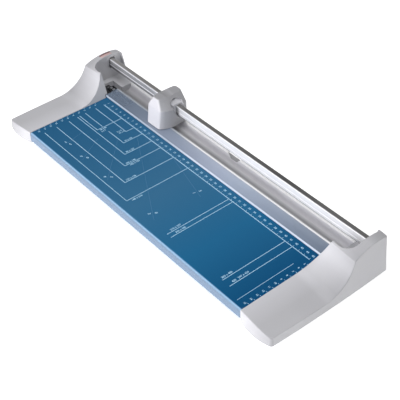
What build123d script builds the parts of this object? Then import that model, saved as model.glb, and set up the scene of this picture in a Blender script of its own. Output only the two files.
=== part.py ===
from build123d import *
import os

# A desk paper trimmer: a rolling blade in a sliding head cuts along the back edge of a printed table.
# Millimetres. X runs along the cut, Y to the back, Z up.
# Pieces are drawn with the cutting edge at Y = 0 and the table top at Z = 0. At the end all of them
# are moved together, so that the origin lies on the desk under the middle of the outer box.

# Overall sizes
bed_width = 463.0          # between the inner faces of the two end caps
table_depth = 164.5        # cutting edge to the folded front of the table
rear_depth = 32.5          # cutting edge to the back of the end caps
table_height = 19.0        # table top above the desk
overrun = 10.0             # how far any cutting tool runs past what it cuts
upright_share = 0.9        # an edge counts as upright when it climbs by this share of its length

# Table plate, a folded steel sheet
sheet = 1.2
lip_drop = 15.5
lip_return = 8.0
lip_bend = 3.4
return_bend = 2.2
joggle_bend = 1.0
joggle_gap = 0.5           # between the fold and the front of the lower blade
ledge_setback = 3.0        # ledge under the lower blade ends this far in front of the cut
end_gap = 0.2              # table plate to end cap
flange_drop = 13.0
flange_front = 8.0         # end flange starts this far behind the folded front
flange_back = 34.0         # and ends this far in front of the cut

# Lower blade, a ground bar
bar_depth = 25.2
bar_thickness = 3.0
bar_relief = 0.6
bar_overhang = 1.0         # past the inner face of each end cap
bar_screw_count = 6
bar_screw_line = 13.0      # screws sit this far in front of the cut
bar_screw_margin = 26.0    # first screw from the inner face of an end cap
bar_tap_depth = 2.2

# Screws
shank_radius = 1.5
screw_head_radius = 2.9
screw_head_height = 1.9
thread_clearance = 0.05
hole_clearance = 0.25
socket_radius = 1.2
socket_depth = 0.9

# Rear channel and back lip, folded grey sheets
channel_sheet = 1.0
channel_flange_front = 22.0
channel_flange_back = 5.0
channel_floor_drop = 10.0
channel_bend = 1.2
channel_gap = 0.4          # channel end to end cap shelf
back_lip_depth = 24.0      # cutting edge to the upright lip
back_lip_foot = 6.0        # foot welded under the channel floor
back_lip_sweep = 7.0       # wide bend from the foot to the lip
back_lip_hem = 3.2
notch_place = 5.0          # scooped notch, to the right of the middle
notch_width = 27.0
notch_floor_width = 13.0
notch_depth = 7.4
notch_round = 4.0
tray_half = 20.5           # tray behind the notch, half its length
tray_back = 31.0           # cutting edge to its free edge

# End caps
cap_width_front = 55.5     # inner face to outer face at the front corner
cap_width_middle = 58.5
cap_width_back = 58.0
cap_skirt = 17.5           # table top down to the lower rim
cap_wall = 2.4
deck_rise = 0.6            # low deck over the table top, along the inner face
deck_fall_share = 0.105    # the top falls outward by this share of the way
swoop_start = 76.0         # low deck ends this far in front of the cut
crest_place = 27.2         # crest, in front of the cut
crest_rise = 36.8
hump_place = 4.0           # top of the rear facet, behind the cut
hump_rise = 45.4
back_rise = 42.3
loft_rise = 50.0           # height of the upper plan section
front_bulge = 5.0          # front face swells by this at the lower rim
outer_draft = 6.0          # outer face leans in by this from rim to upper section
back_draft = 0.4
corner_radius_front = 5.0
corner_radius_back = 3.2
top_edge_radius = 1.4
rounded_edge_share = 0.25  # edges further out than this share of the width are rounded
wall_lean = 14.1           # inner wall leans out by this
wall_lean_rise = 37.0      # over this height
recess_front = 24.5        # parking recess, in front of the cut
recess_reach = 40.8        # inner face to the recess wall
recess_corner = 17.0
back_wall = 2.0            # left standing behind the recess
back_wall_reach = 23.7     # inner face to the foot of its leaning edge
shelf_reach = 8.0          # inner face to the end of the shelf under the rail
shelf_drop = 0.5
shelf_front = 7.0          # shelf starts behind the cut
pit_reach = 31.8           # pit for the clamp block, inner face to its outer wall
pit_drop = 12.0
pit_gap = 0.8              # pit to the front and top of the clear strip
rib_thickness = 1.8
rib_lift = 2.5             # ribs stay above the lower rim
rib_place_shares = (0.40, 0.62, 0.80)    # of the table depth, in front of the cut
cap_screw_shares = (0.30, 0.56, 0.86)    # of the table depth, in front of the cut
cap_screw_drop = 8.0
boss_radius = 3.6
boss_length = 14.0
cap_screw_grip = 11.0

# Rubber feet
foot_radius = 6.5
foot_seat = 1.6            # how far a foot sits up in its post
foot_stem_radius = 2.4
foot_stem_length = 5.0
foot_fit = 0.1
foot_draft = 0.5
post_wall = 2.0
foot_front_place = 137.0   # in front of the cut
foot_front_reach = 27.0    # outward of the inner face
foot_back_place = 17.0     # behind the cut
foot_back_reach = 36.0

# Guide rail, a hollow extrusion
rail_front = 10.0          # front face, behind the cut
rail_depth = 8.2
rail_height = 15.5
rail_bottom = 18.6         # above the table top
rail_corner = 1.6
rail_wall = 1.7
rail_groove_drop = 9.4     # groove in the front face, below the rail's top
rail_groove_width = 1.4
rail_groove_depth = 0.5
socket_depth_rail = 8.4
socket_fit = 0.15
mouth_gap = 2.0            # open all round the rail where it enters a cap
mouth_depth = 4.0
collar_wall = 1.6
collar_rise = 1.1

# Clear clamp strip and its end blocks
strip_front = 28.0         # in front of the cut
strip_back = 2.5
strip_thickness = 2.5
strip_lift = 1.3           # open gap for the paper
strip_overhang = 2.0       # past the inner face of each end cap
strip_front_bevel = 1.4
strip_back_bevel = 0.6
tongue_front = 15.0
tongue_back = 4.0
tongue_length = 13.0
block_start = 4.0          # from the inner face
block_length = 20.5
block_front = 26.0
block_back = 6.2
block_depth = 7.3
block_round = 1.5
rivet_shares = (0.32, 0.75)              # of the tongue length
rivet_radius = 1.2
rivet_head_radius = 2.1
rivet_head_height = 1.0
rivet_fit = 0.05
pin_radius = 2.0
pin_reach = 19.5           # inner face to the pin
pin_rise = 0.6             # top of the pin over the table top
pin_fit = 0.08
leaf_width = 6.0
leaf_thickness = 0.5
leaf_place = 21.0          # in front of the cut
leaf_bend = 2.4
leaf_seat = 0.05
leaf_start = 8.0           # upper leg starts, from the inner face
leaf_end = 27.5            # turned end, from the inner face
leaf_foot = 11.0           # lower leg starts, from the inner face

# Cutting head
head_rest = -123.0         # place along the cut, from the middle of the bed
head_waist = 3.0           # widest place, behind the cut
head_lower_rim = 4.6       # the three heights are above the table top
head_shoulder_rise = 34.5
head_top_rise = 50.2
rim_front = 21.5           # front and back are measured from the cut
rim_back = 29.5
rim_front_half = 13.0
rim_half = 22.5
rim_back_half = 18.5
shoulder_front = 18.0
shoulder_back = 29.6
shoulder_front_half = 13.4
shoulder_half = 21.8
shoulder_back_half = 17.8
top_front = 14.5
top_back = 28.5
top_front_half = 5.6
top_half = 8.4
top_back_half = 7.6
top_dip = 0.9              # shallow finger dip across the top
top_dip_radius = 26.0
top_dip_place = 6.0        # behind the cut
head_corner_radius = 5.0
head_edge_radius = 1.8
head_wall = 2.2
arch_front = 0.8           # rail opening at its widest, in front of the cut
arch_back = 21.0
arch_low_front = 8.4       # rail opening at its foot, behind the cut
arch_bottom = 16.8
arch_spring = 39.5
arch_rise = 45.4
arch_start = 10.0          # opening is cut outward from here
post_radius = 3.0
post_place = 6.5           # hood posts each side of the middle

# Carriage on the rail
saddle_half_length = 16.4
saddle_wall = 5.0
saddle_roof = 7.4
saddle_gap = 0.3           # saddle to the inside of the hood
saddle_lower_rim = 6.0     # foot of the lug that carries the blade axle
lug_half = 11.0
brow_front = 0.8           # upper part of the saddle, behind the cut
brow_bottom = 29.0
brow_round = 5.0           # its front and top end edges
saddle_lip = 1.5           # end lips that hold the liners
lip_gap = 0.45             # lip to the rail
keeper_half_length = 13.5
keeper_thickness = 4.2
keeper_screw_place = 8.5
liner_thickness = 0.75
liner_length = 9.0
liner_seat = 0.02
glide_fit = 0.05
keeper_gap = 0.1
counterbore_slack = 0.3
hood_screw_grip = 4.6
keeper_screw_grip = 9.0

# Blade wheel and axle
blade_radius = 14.0
blade_thickness = 1.0
blade_bevel = 2.2
blade_edge = 0.1
blade_dip = 1.2            # edge below the table top
blade_side_fit = 0.05      # flat face to the lower blade
hub_radius = 7.0
hub_flange = 4.4
hub_sleeve_radius = 4.0
hub_fit = 0.03
axle_radius = 2.0
axle_fit = 0.05
axle_grip = 4.0
axle_head_radius = 4.2
axle_head_height = 2.0
axle_head_gap = 0.2
clip_radius = 6.0
clip_thickness = 1.1
washer_radius = 5.4
washer_sheet = 0.4
washer_fit = 0.06
shoe_gap = 0.15            # press shoe to the hood
shoe_clearance = 0.5       # press shoe over the resting strip
shoe_back = 8.0
shoe_height = 6.0
shoe_wall = 2.0

# Worked out from the sizes above
inner_face = bed_width / 2
rail_top = rail_bottom + rail_height
rail_back = rail_front + rail_depth
rail_middle = (rail_front + rail_back) / 2
recess_wall = inner_face + recess_reach
shelf_end = inner_face + shelf_reach
ledge_top = -bar_thickness
ledge_bottom = ledge_top - sheet
flange_bottom = ledge_bottom - channel_sheet
channel_half = shelf_end - channel_gap
channel_floor_end = back_lip_depth - back_lip_sweep
strip_top = strip_lift + strip_thickness
strip_half = inner_face + strip_overhang
tongue_middle = -(tongue_front + tongue_back) / 2
block_bottom = strip_lift - block_depth
tunnel = glide_fit + liner_thickness
saddle_front = rail_front - tunnel - saddle_wall
saddle_back = rail_back + tunnel + saddle_wall
saddle_top = rail_top + tunnel + saddle_roof
liner_end = saddle_half_length - saddle_lip
keeper_top = rail_bottom - tunnel
blade_rise = blade_radius - blade_dip
blade_back = blade_side_fit + blade_thickness


def prism_x(face, start, end):
    """Sweep a face drawn in Y and Z along X."""
    return extrude(Plane.YZ.offset(start) * face, amount=end - start)


def block(x, y, z):
    """A box from its low and high values along each axis."""
    size = [high - low for low, high in (x, y, z)]
    centre = [(high + low) / 2 for low, high in (x, y, z)]
    return Pos(*centre) * Box(*size)


def rod_x(radius, x, y, z):
    """A round bar along X."""
    return Pos((x[0] + x[1]) / 2, y, z) * Rot(0, 90, 0) * Cylinder(radius, abs(x[1] - x[0]))


def rod_y(radius, x, y, z):
    """A round bar along Y."""
    return Pos(x, (y[0] + y[1]) / 2, z) * Rot(90, 0, 0) * Cylinder(radius, abs(y[1] - y[0]))


def rod_z(radius, x, y, z):
    """A round bar along Z."""
    return Pos(x, y, (z[0] + z[1]) / 2) * Cylinder(radius, abs(z[1] - z[0]))


def both_sides(piece):
    """A piece of the right end and its mirror image on the left."""
    return [piece, mirror(piece, about=Plane.YZ)]


def screw_z(x, y, seat, grip):
    """A pan head screw pointing up, its head under the seat."""
    tip = seat - screw_head_height
    head = rod_z(screw_head_radius, x, y, (tip, seat))
    shank = rod_z(shank_radius, x, y, (seat - screw_head_height / 2, seat + grip))
    return head + shank - rod_z(socket_radius, x, y, (tip - overrun, tip + socket_depth))


def bar_screw_places():
    """Places along X of the screws that hold the lower blade."""
    first = inner_face - bar_screw_margin
    step = 2 * first / (bar_screw_count - 1)
    return [-first + step * i for i in range(bar_screw_count)]


def cap_screw_places():
    """Places along Y of the screws that hold an end cap to the table."""
    return [-share * table_depth for share in cap_screw_shares]


def bent_sheet(points, radii, thickness, half_length):
    """A folded sheet from the middle line of its section."""
    return prism_x(trace(FilletPolyline(*points, radius=radii), thickness), -half_length, half_length)


def table_plate():
    half = inner_face - end_gap
    front = -table_depth + sheet / 2
    top = -sheet / 2
    fold = -bar_depth - joggle_gap - sheet / 2
    ledge = ledge_top - sheet / 2
    points = [
        (front + lip_return, -lip_drop + sheet / 2),
        (front, -lip_drop + sheet / 2),
        (front, top),
        (fold, top),
        (fold, ledge),
        (-ledge_setback, ledge),
    ]
    plate = bent_sheet(points, [return_bend, lip_bend, joggle_bend, joggle_bend], sheet, half)
    flange = block((half - sheet, half), (-table_depth + flange_front, -flange_back), (-flange_drop, top))
    hole_x = (half - sheet - overrun, half + overrun)
    for y in cap_screw_places():
        flange -= rod_x(shank_radius + hole_clearance, hole_x, y, -cap_screw_drop)
    for piece in both_sides(flange):
        plate += piece
    for x in bar_screw_places():
        plate -= rod_z(shank_radius + hole_clearance, x, -bar_screw_line, (ledge_bottom - overrun, ledge_top))
    return plate


def lower_blade():
    section = make_face(Polyline(
        (-bar_depth, 0), (0, 0), (-bar_relief, -bar_thickness), (-bar_depth, -bar_thickness), close=True))
    bar = prism_x(section, -inner_face - bar_overhang, inner_face + bar_overhang)
    tap_z = (ledge_top - overrun, ledge_top + bar_tap_depth)
    for x in bar_screw_places():
        bar -= rod_z(shank_radius + thread_clearance, x, -bar_screw_line, tap_z)
    return bar


def lower_blade_screws():
    grip = ledge_top - flange_bottom + bar_tap_depth - thread_clearance
    return [screw_z(x, -bar_screw_line, flange_bottom, grip) for x in bar_screw_places()]


def rear_channel():
    flange = ledge_bottom - channel_sheet / 2
    floor = -channel_floor_drop
    points = [
        (-channel_flange_front, flange),
        (-channel_flange_back, flange),
        (-channel_flange_back, floor),
        (channel_floor_end, floor),
    ]
    channel = bent_sheet(points, [channel_bend, channel_bend], channel_sheet, channel_half)
    trim_x = (inner_face - end_gap, channel_half + overrun)
    trim_y = (-channel_flange_front - overrun, -channel_flange_back - channel_sheet / 2)
    for side in both_sides(block(trim_x, trim_y, (flange_bottom - overrun, 0))):
        channel -= side
    hole_z = (flange_bottom - overrun, ledge_bottom)
    for x in bar_screw_places():
        channel -= rod_z(shank_radius + hole_clearance, x, -bar_screw_line, hole_z)
    return channel


def back_lip():
    foot_level = -channel_floor_drop - channel_sheet
    top = -channel_sheet / 2
    points = [
        (channel_floor_end - back_lip_foot, foot_level),
        (back_lip_depth, foot_level),
        (back_lip_depth, top),
        (back_lip_depth + back_lip_hem, top),
    ]
    lip = bent_sheet(points, [back_lip_sweep, channel_bend], channel_sheet, channel_half)
    notch_top = (notch_width / 2 + notch_depth, notch_depth)
    notch_line = FilletPolyline(
        (-notch_top[0], notch_top[1]),
        (-notch_width / 2, 0),
        (-notch_floor_width / 2, -notch_depth),
        (notch_floor_width / 2, -notch_depth),
        (notch_width / 2, 0),
        notch_top,
        radius=notch_round)
    notch_face = make_face([*notch_line.edges(), Line(notch_top, (-notch_top[0], notch_top[1]))])
    notch = Plane.XZ.offset(-back_lip_depth - overrun) * Pos(notch_place, 0) * notch_face
    return lip - extrude(notch, amount=overrun + back_lip_sweep)


def notch_tray():
    """A tray behind the notch, welded along the sweep of the back lip."""
    bend = Pos(channel_floor_end, back_lip_sweep - channel_floor_drop - channel_sheet)
    inner_radius = back_lip_sweep + channel_sheet / 2
    ring = bend * (Circle(inner_radius + channel_sheet) - Circle(inner_radius))
    low = -channel_floor_drop - 2 * channel_sheet
    middle = (tray_back + channel_floor_end) / 2
    width = tray_back - channel_floor_end
    height = -notch_depth - low + channel_sheet
    window = Pos(middle, -notch_depth - height / 2) * Rectangle(width, height)
    floor = Pos(middle, -notch_depth - channel_sheet / 2) * Rectangle(width, channel_sheet)
    section = (ring & window) + (floor - bend * Circle(inner_radius))
    return prism_x(section, notch_place - tray_half, notch_place + tray_half)


def cap_plan(inset, rise, draft_share, bulge):
    """Plan outline of the right end cap at one height, inset by a wall."""
    lean = outer_draft * draft_share
    front = -table_depth + inset
    back = rear_depth - back_draft * draft_share - inset
    inner = inner_face + inset
    outer_front = inner_face + cap_width_front - lean - inset
    outer_middle = inner_face + cap_width_middle - lean - inset
    outer_back = inner_face + cap_width_back - lean - inset
    outline = [
        ThreePointArc((inner, front), ((inner + outer_front) / 2, front - bulge), (outer_front, front)),
        ThreePointArc((outer_front, front), (outer_middle, (front + back) / 2), (outer_back, back)),
        Line((outer_back, back), (inner, back)),
        Line((inner, back), (inner, front)),
    ]
    return Pos(0, 0, rise) * make_face(outline)


def cap_profile(inset):
    """Section of the cap in Y and Z along its inner face: low deck, concave swoop, crest and rear facet."""
    front = -table_depth - front_bulge - overrun
    floor = -cap_skirt - 2 * overrun
    back = rear_depth + overrun
    top = [
        Line((front, deck_rise), (-swoop_start, deck_rise)),
        TangentArc((-swoop_start, deck_rise), (-crest_place, crest_rise), tangent=(1, 0)),
        ThreePointArc((-crest_place, crest_rise), (hump_place, hump_rise), (rear_depth, back_rise)),
        Line((rear_depth, back_rise), (back, back_rise)),
    ]
    rest = Polyline((back, back_rise), (back, floor), (front, floor), (front, deck_rise))
    face = make_face([*top, *rest.edges()])
    if inset:
        face = offset(face, amount=-inset, kind=Kind.INTERSECTION)
    return face


def upright_edges(solid):
    return solid.edges().filter_by(lambda edge: abs(edge.tangent_at(0).Z) > upright_share)


def cap_envelope(inset, drop):
    """Outer block of the right end cap, or the block inside its walls."""
    low = -cap_skirt - drop
    skirt_share = -drop / (cap_skirt + loft_rise)
    bulge_high = -front_bulge * (loft_rise - deck_rise) / (cap_skirt + deck_rise)
    bulge_low = front_bulge * (cap_skirt + drop + deck_rise) / (cap_skirt + deck_rise)
    lower = cap_plan(inset, low, skirt_share, bulge_low)
    upper = cap_plan(inset, loft_rise, 1, bulge_high)
    plan = loft([lower, upper], ruled=True)
    plan = fillet(upright_edges(plan).sort_by(Axis.X)[-2:].sort_by(Axis.Y)[:1], corner_radius_front - inset)
    plan = fillet(upright_edges(plan).sort_by(Axis.Y)[-2:].sort_by(Axis.X)[-1:], corner_radius_back - inset)
    start = inner_face - overrun
    length = max(cap_width_front, cap_width_middle, cap_width_back) + 2 * overrun
    profile = Plane.YZ.offset(start) * Pos(0, deck_fall_share * overrun) * cap_profile(inset)
    return plan & extrude(profile, amount=length, dir=(1, 0, -deck_fall_share))


def leaning_cut(foot, level, y):
    """All that lies inward of a wall that leans outward from its foot."""
    inner = inner_face - overrun
    high = loft_rise + overrun
    lean = wall_lean * high / wall_lean_rise
    wedge = make_face(Polyline(
        (inner, level), (foot, level), (foot + lean, high), (inner, high), close=True))
    return extrude(Plane.XZ.offset(-y[0]) * wedge, amount=y[0] - y[1])


def cap_pockets(grow):
    """All that is open in the right end cap: the leaning inner wall, the parking recess and the pit."""
    inner = inner_face - overrun
    high = loft_rise + overrun
    back = rear_depth + overrun
    pockets = leaning_cut(inner_face + grow, grow, (-table_depth - front_bulge - overrun, back))
    wall = recess_wall + grow
    near = -recess_front - grow
    far = rear_depth - back_wall + grow
    corner = recess_corner + grow
    recess_face = make_face([
        *Polyline((inner, far), (inner, near), (wall - corner, near)).edges(),
        RadiusArc((wall - corner, near), (wall, near + corner), -corner),
        *Polyline((wall, near + corner), (wall, far), (inner, far)).edges(),
    ])
    level = -shelf_drop - grow
    pockets += extrude(Pos(0, 0, level) * recess_face, amount=high - level)
    pockets += leaning_cut(inner_face + back_wall_reach + grow, level, (0, back))
    pit_x = (inner, inner_face + pit_reach + grow)
    pit_y = (-strip_front - pit_gap - grow, shelf_front + grow)
    pockets += block(pit_x, pit_y, (-pit_drop - grow, strip_top + pit_gap + grow))
    pockets += block((inner, shelf_end + grow), (near, back), (-cap_skirt - overrun, high))
    return pockets


def foot_places():
    """Feet under the right end cap, as X and Y."""
    return [
        (inner_face + foot_front_reach, -foot_front_place),
        (inner_face + foot_back_reach, foot_back_place),
    ]


def rail_section(grow):
    """Outline of the rail, grown all round."""
    corner = rail_corner + grow
    return Pos(rail_middle, (rail_bottom + rail_top) / 2) * RectangleRounded(
        rail_depth + 2 * grow, rail_height + 2 * grow, corner)


def right_end_cap():
    solid = cap_envelope(0, 0)
    solid = round_cap_edges(solid)
    pockets = cap_pockets(0)
    body = solid - pockets
    hollow = cap_envelope(cap_wall, overrun) - cap_pockets(cap_wall)
    extras = Part()
    for share in rib_place_shares:
        y = -share * table_depth
        extras += block(
            (inner_face, inner_face + cap_width_middle), (y - rib_thickness / 2, y + rib_thickness / 2),
            (-cap_skirt + rib_lift, loft_rise))
    boss_x = (inner_face, inner_face + boss_length)
    for y in cap_screw_places():
        extras += rod_x(boss_radius, boss_x, y, -cap_screw_drop)
    for x, y in foot_places():
        extras += rod_z(foot_radius + post_wall, x, y, (-cap_skirt, loft_rise))
    socket_end = recess_wall + socket_depth_rail
    mouth_end = recess_wall + mouth_depth
    extras += prism_x(rail_section(cap_wall), recess_wall, socket_end + cap_wall)
    extras += prism_x(rail_section(mouth_gap + cap_wall), recess_wall, mouth_end + cap_wall)
    cap = (body - hollow) + (extras & body)
    cap += prism_x(rail_section(mouth_gap + collar_wall), recess_wall - collar_rise, recess_wall + cap_wall)
    cap -= prism_x(rail_section(mouth_gap), recess_wall - overrun, mouth_end)
    cap -= prism_x(rail_section(socket_fit), recess_wall - overrun, socket_end)
    hole_x = (inner_face - overrun, inner_face + cap_screw_grip + thread_clearance)
    for y in cap_screw_places():
        cap -= rod_x(shank_radius + thread_clearance, hole_x, y, -cap_screw_drop)
    for x, y in foot_places():
        seat = -cap_skirt + foot_seat
        cap -= rod_z(foot_radius + foot_fit, x, y, (-cap_skirt - overrun, seat))
        cap -= rod_z(foot_stem_radius + foot_fit, x, y, (seat, seat + foot_stem_length + foot_fit))
    pin_z = (-pit_drop - cap_wall - overrun, -pit_drop + overrun)
    cap -= rod_z(pin_radius + thread_clearance, inner_face + pin_reach, tongue_middle, pin_z)
    return cap


def round_cap_edges(solid):
    """Soften the moulded edges along the top of the cap, but not the smooth start of the swoop."""
    least_x = inner_face + rounded_edge_share * cap_width_front
    upper = [e for e in solid.edges() if e.center().Z > -cap_skirt / 2 and e.center().X > least_x]
    return fillet([e for e in upper if abs(e.center().Y + swoop_start) > top_edge_radius], top_edge_radius)


def screw_x(y, z, seat, grip):
    """A pan head screw pointing to the right, its head on the left of the seat."""
    tip = seat - screw_head_height
    head = rod_x(screw_head_radius, (tip, seat), y, z)
    shank = rod_x(shank_radius, (seat - screw_head_height / 2, seat + grip), y, z)
    return head + shank - rod_x(socket_radius, (tip - overrun, tip + socket_depth), y, z)


def cap_screws():
    """Screws from under the table, through its end flange into the right cap."""
    seat = inner_face - end_gap - sheet
    grip = end_gap + sheet + cap_screw_grip
    return Compound(children=[screw_x(y, -cap_screw_drop, seat, grip) for y in cap_screw_places()])


def guide_rail():
    core = Pos(rail_middle, (rail_bottom + rail_top) / 2) * RectangleRounded(
        rail_depth - 2 * rail_wall, rail_height - 2 * rail_wall, rail_corner / 2)
    groove_z = rail_top - rail_groove_drop
    groove = make_face(Polyline(
        (rail_front - rail_groove_depth, groove_z - rail_groove_width),
        (rail_front + rail_groove_depth, groove_z),
        (rail_front - rail_groove_depth, groove_z + rail_groove_width), close=True))
    half = recess_wall + socket_depth_rail - socket_fit
    return prism_x(rail_section(0) - core - groove, -half, half)


def turned_y(points):
    """A turned piece about Y, from radius and place along the axis."""
    return revolve(make_face(Polyline(*points, close=True)), Axis.Y)


def foot(x, y):
    bottom = -table_height
    seat = -cap_skirt + foot_seat
    top = seat + foot_stem_length
    section = make_face(Polyline(
        (0, bottom), (foot_radius - foot_draft, bottom), (foot_radius, bottom + foot_draft),
        (foot_radius, seat), (foot_stem_radius, seat), (foot_stem_radius, top), (0, top), close=True))
    return Pos(x, y) * revolve(Plane.XZ * section, Axis.Z)


def rivet_places():
    """Rivets through the right tongue, along X."""
    return [strip_half + share * tongue_length for share in rivet_shares]


def clamp_strip():
    section = make_face(Polyline(
        (-strip_front, strip_lift), (-strip_back, strip_lift), (-strip_back, strip_top - strip_back_bevel),
        (-strip_back - strip_back_bevel, strip_top), (-strip_front + strip_front_bevel, strip_top),
        (-strip_front, strip_top - strip_front_bevel), close=True))
    strip = prism_x(section, -strip_half, strip_half)
    tongue_x = (strip_half - strip_overhang, strip_half + tongue_length)
    tongue = block(tongue_x, (-tongue_front, -tongue_back), (strip_lift, strip_top))
    head_z = (strip_top - rivet_head_height, strip_top + overrun)
    for x in rivet_places():
        tongue -= rod_z(rivet_radius + rivet_fit, x, tongue_middle, (strip_lift - overrun, strip_top))
        tongue -= rod_z(rivet_head_radius + rivet_fit, x, tongue_middle, head_z)
    for piece in both_sides(tongue):
        strip += piece
    return strip


def clamp_block():
    start = inner_face + block_start
    body = block((start, start + block_length), (-block_front, -block_back), (block_bottom, strip_lift))
    body = fillet(body.edges().filter_by(Axis.Z), block_round)
    hole_z = (block_bottom - overrun, strip_lift + overrun)
    body -= rod_z(pin_radius + pin_fit, inner_face + pin_reach, tongue_middle, hole_z)
    for x in rivet_places():
        body -= rod_z(rivet_radius + rivet_fit, x, tongue_middle, hole_z)
    return body


def clamp_rivets():
    rivets = []
    head_z = (strip_top - rivet_head_height, strip_top)
    for x in rivet_places():
        shank = rod_z(rivet_radius, x, tongue_middle, (block_bottom, strip_top))
        rivets.append(shank + rod_z(rivet_head_radius, x, tongue_middle, head_z))
    return Compound(children=rivets)


def clamp_pin():
    return rod_z(pin_radius, inner_face + pin_reach, tongue_middle, (-pit_drop - cap_wall, pin_rise))


def clamp_spring():
    """A leaf bent back on itself between the pit's floor and the clamp block."""
    high = block_bottom - leaf_seat - leaf_thickness / 2
    low = -pit_drop + leaf_seat + leaf_thickness / 2
    line = FilletPolyline(
        (inner_face + leaf_start, high), (inner_face + leaf_end, high),
        (inner_face + leaf_end, low), (inner_face + leaf_foot, low), radius=leaf_bend)
    back = Plane.XZ.offset(leaf_place - leaf_width / 2)
    return extrude(back * trace(line, leaf_thickness), amount=leaf_width)


def head_plan(rise, front, back, front_half, half, back_half, inset):
    """Barrel plan of the cutting head at one height."""
    near = -front + inset
    far = back - inset
    corner = front_half - inset
    waist = half - inset
    tail = back_half - inset
    outline = [
        Line((-corner, near), (corner, near)),
        TangentArc((waist, head_waist), (corner, near), tangent=(0, -1)),
        TangentArc((waist, head_waist), (tail, far), tangent=(0, 1)),
        Line((tail, far), (-tail, far)),
        TangentArc((-waist, head_waist), (-tail, far), tangent=(0, 1)),
        TangentArc((-waist, head_waist), (-corner, near), tangent=(0, -1)),
    ]
    return Pos(0, 0, rise) * make_face(outline)


def head_block(inset, drop):
    """Outer form of the head, or the room inside its walls, open below."""
    low = head_lower_rim - drop
    high = head_top_rise - inset
    rim = head_plan(low, rim_front, rim_back, rim_front_half, rim_half, rim_back_half, inset)
    shoulder = head_plan(
        head_shoulder_rise, shoulder_front, shoulder_back,
        shoulder_front_half, shoulder_half, shoulder_back_half, inset)
    top = head_plan(high, top_front, top_back, top_front_half, top_half, top_back_half, inset)
    return loft([rim, shoulder], ruled=True) + loft([shoulder, top], ruled=True)


def head_form():
    """Outside of the head with its rounded corners and a shallow finger dip in the top."""
    form = head_block(0, 0)
    corners = [e for e in form.edges() if e.bounding_box().size.Z > head_edge_radius]
    corners = [e for e in corners if abs(e.center().Y - head_waist) > head_corner_radius]
    form = fillet(corners, head_corner_radius)
    form = fillet(form.edges().group_by(Axis.Z)[-1], head_edge_radius)
    dip_rise = head_top_rise - top_dip + top_dip_radius
    return form - rod_x(top_dip_radius, (-rim_half, rim_half), top_dip_place, dip_rise)


def rail_arch():
    """Outline of the opening in the hood's sides, in Y and Z, wide over the rail and narrow at its foot."""
    middle = (arch_back - arch_front) / 2
    foot_line = Polyline(
        (-arch_front, arch_spring), (arch_low_front, arch_bottom),
        (arch_back, arch_bottom), (arch_back, arch_spring))
    over = ThreePointArc((arch_back, arch_spring), (middle, arch_rise), (-arch_front, arch_spring))
    return make_face([*foot_line.edges(), over])


def head_hood():
    form = head_form()
    hood = form - head_block(head_wall, overrun)
    posts = (-post_place, post_place)
    for x in posts:
        hood += rod_z(post_radius, x, rail_middle, (saddle_top, head_top_rise - head_wall / 2)) & form
    for side in both_sides(prism_x(rail_arch(), arch_start, rim_half + overrun)):
        hood -= side
    for x in posts:
        hood -= rod_z(shank_radius + thread_clearance, x, rail_middle, (0, saddle_top + hood_screw_grip))
    return hood


def hood_screw_seat():
    return rail_top + tunnel + screw_head_height + counterbore_slack


def saddle():
    """Carriage that straddles the rail, with the blade axle on a lug in front."""
    ends = (-saddle_half_length, saddle_half_length)
    lug_back = rail_front - tunnel
    lug = block((-lug_half, lug_half), (saddle_front, lug_back), (saddle_lower_rim, keeper_top))
    body = fillet(lug.edges().filter_by(Axis.Y).sort_by(Axis.Z)[:2], saddle_wall)
    box = block(ends, (saddle_front, saddle_back), (keeper_top, brow_bottom))
    body += fillet(box.edges().filter_by(Axis.Z).sort_by(Axis.Y)[:2], saddle_wall - saddle_lip)
    brow = block(ends, (brow_front, saddle_back), (brow_bottom, saddle_top))
    front_edges = brow.edges().filter_by(Axis.Z).sort_by(Axis.Y)[:2]
    body += fillet(front_edges + brow.edges().filter_by(Axis.Y).sort_by(Axis.Z)[-2:], brow_round)
    body &= head_block(head_wall + saddle_gap, overrun)
    tunnel_y = (lug_back, rail_back + tunnel)
    body -= block((-liner_end, liner_end), tunnel_y, (0, rail_top + tunnel))
    lip_y = (rail_front - lip_gap, rail_back + lip_gap)
    body -= block((ends[0] - overrun, ends[1] + overrun), lip_y, (0, rail_top + lip_gap))
    body -= rod_y(axle_radius + thread_clearance, 0, (0, saddle_front + axle_grip), blade_rise)
    for x in (-post_place, post_place):
        body -= rod_z(shank_radius + hole_clearance, x, rail_middle, (0, saddle_top + overrun))
        body -= rod_z(screw_head_radius + counterbore_slack, x, rail_middle, (0, hood_screw_seat()))
    tap_z = (keeper_top - overrun, keeper_top + keeper_screw_grip)
    for x in (-keeper_screw_place, keeper_screw_place):
        body -= rod_z(shank_radius + thread_clearance, x, saddle_back - saddle_wall / 2, tap_z)
    return body


def rail_keeper():
    half = keeper_half_length
    near = rail_front - tunnel + keeper_gap
    keeper = block((-half, half), (near, saddle_back), (keeper_top - keeper_thickness, keeper_top))
    keeper = fillet(keeper.edges().filter_by(Axis.Z), rail_corner)
    y = saddle_back - saddle_wall / 2
    for x in (-keeper_screw_place, keeper_screw_place):
        keeper -= rod_z(shank_radius + hole_clearance, x, y, (0, keeper_top + overrun))
    return keeper


def hood_screws():
    seat = hood_screw_seat()
    grip = saddle_top - seat + hood_screw_grip - thread_clearance
    return Compound(children=[screw_z(x, rail_middle, seat, grip) for x in (-post_place, post_place)])


def keeper_screws():
    y = saddle_back - saddle_wall / 2
    grip = keeper_thickness + keeper_screw_grip - thread_clearance
    seat = keeper_top - keeper_thickness
    return Compound(children=[screw_z(x, y, seat, grip) for x in (-keeper_screw_place, keeper_screw_place)])


def glide_liner():
    ring = rail_section(tunnel - liner_seat) - rail_section(glide_fit)
    return prism_x(ring, liner_end - liner_length, liner_end - liner_seat)


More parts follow.
